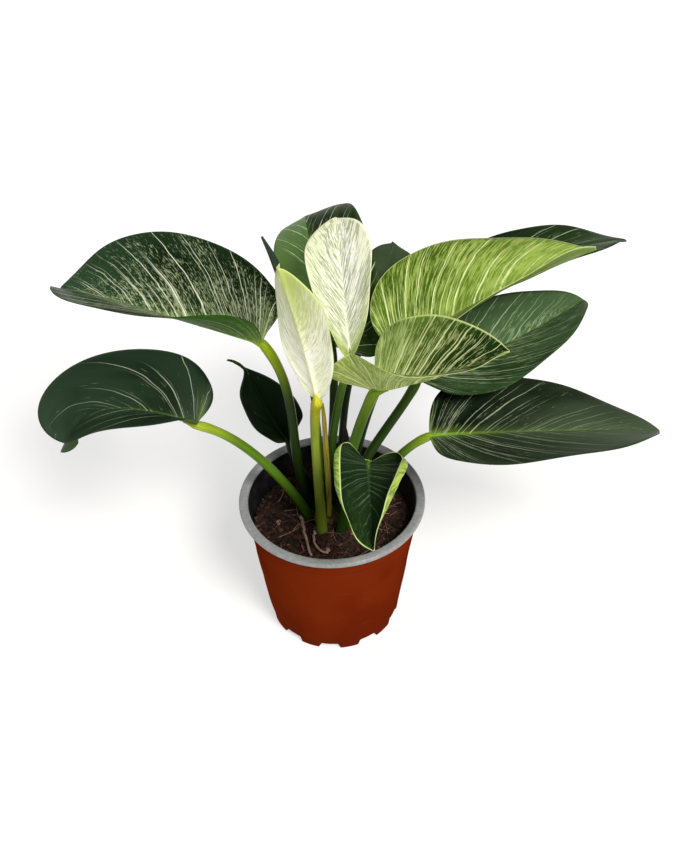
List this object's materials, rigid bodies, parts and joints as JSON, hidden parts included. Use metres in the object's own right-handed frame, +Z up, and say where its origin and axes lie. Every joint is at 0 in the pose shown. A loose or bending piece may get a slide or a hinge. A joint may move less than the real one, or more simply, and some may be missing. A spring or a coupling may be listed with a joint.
{
  "type": "potted philodendron birkin",
  "caption": "Philodendron birkin house plant with pinstriped dark green, lime and cream leaves on long stalks, in its soil-filled round nursery pot.",
  "frame": {"origin": "centre of the pot's base, on the surface it stands on", "axes": "+Z up; -Y is the plant's front, where the small front leaf hangs over the rim; +X to the right seen from the front, along the widest spread of the leaves"},
  "size_m": [0.4249, 0.2747, 0.3186],
  "materials": {
    "pot_plastic": "thermoformed plastic, orange-brown outside, grey lip, near-black inside",
    "potting_mix": "moist bark and peat potting mix",
    "crown": "matt green-brown stem",
    "stalk": "smooth satin green, lime on the young leaves",
    "dark_leaf": "waxy satin dark green with fine cream pinstripes along the side veins",
    "lime_leaf": "waxy satin lime green with dense cream pinstripes",
    "cream_leaf": "waxy satin cream with green flecks towards the margins",
    "sheath": "papery dry reddish-brown sheath",
    "aerial_root": "matt pinkish-tan root"
  },
  "bodies": {
    "root": {"pot": "pot_plastic", "soil": "potting_mix", "crown": "crown", "petiole_left_upper": "stalk", "blade_left_upper": "dark_leaf", "petiole_left_lower": "stalk", "blade_left_lower": "dark_leaf", "petiole_back_left_small": "stalk", "blade_back_left_small": "dark_leaf", "petiole_cream_left": "stalk", "blade_cream_left": "cream_leaf", "petiole_cream_center": "stalk", "blade_cream_center": "cream_leaf", "petiole_back_arching": "stalk", "blade_back_arching": "dark_leaf", "petiole_back_small": "stalk", "blade_back_small": "dark_leaf", "petiole_lime_upper": "stalk", "blade_lime_upper": "lime_leaf", "petiole_lime_front": "stalk", "blade_lime_front": "lime_leaf", "petiole_right_back_dark": "stalk", "blade_right_back_dark": "dark_leaf", "petiole_right_middle": "stalk", "blade_right_middle": "dark_leaf", "petiole_right_lower": "stalk", "blade_right_lower": "dark_leaf", "petiole_front_small": "stalk", "blade_front_small": "dark_leaf", "petiole_young": "stalk", "blade_young": "dark_leaf", "sheath_front": "sheath", "sheath_back": "sheath", "root_left": "aerial_root", "root_front": "aerial_root"}
  },
  "joints": []
}
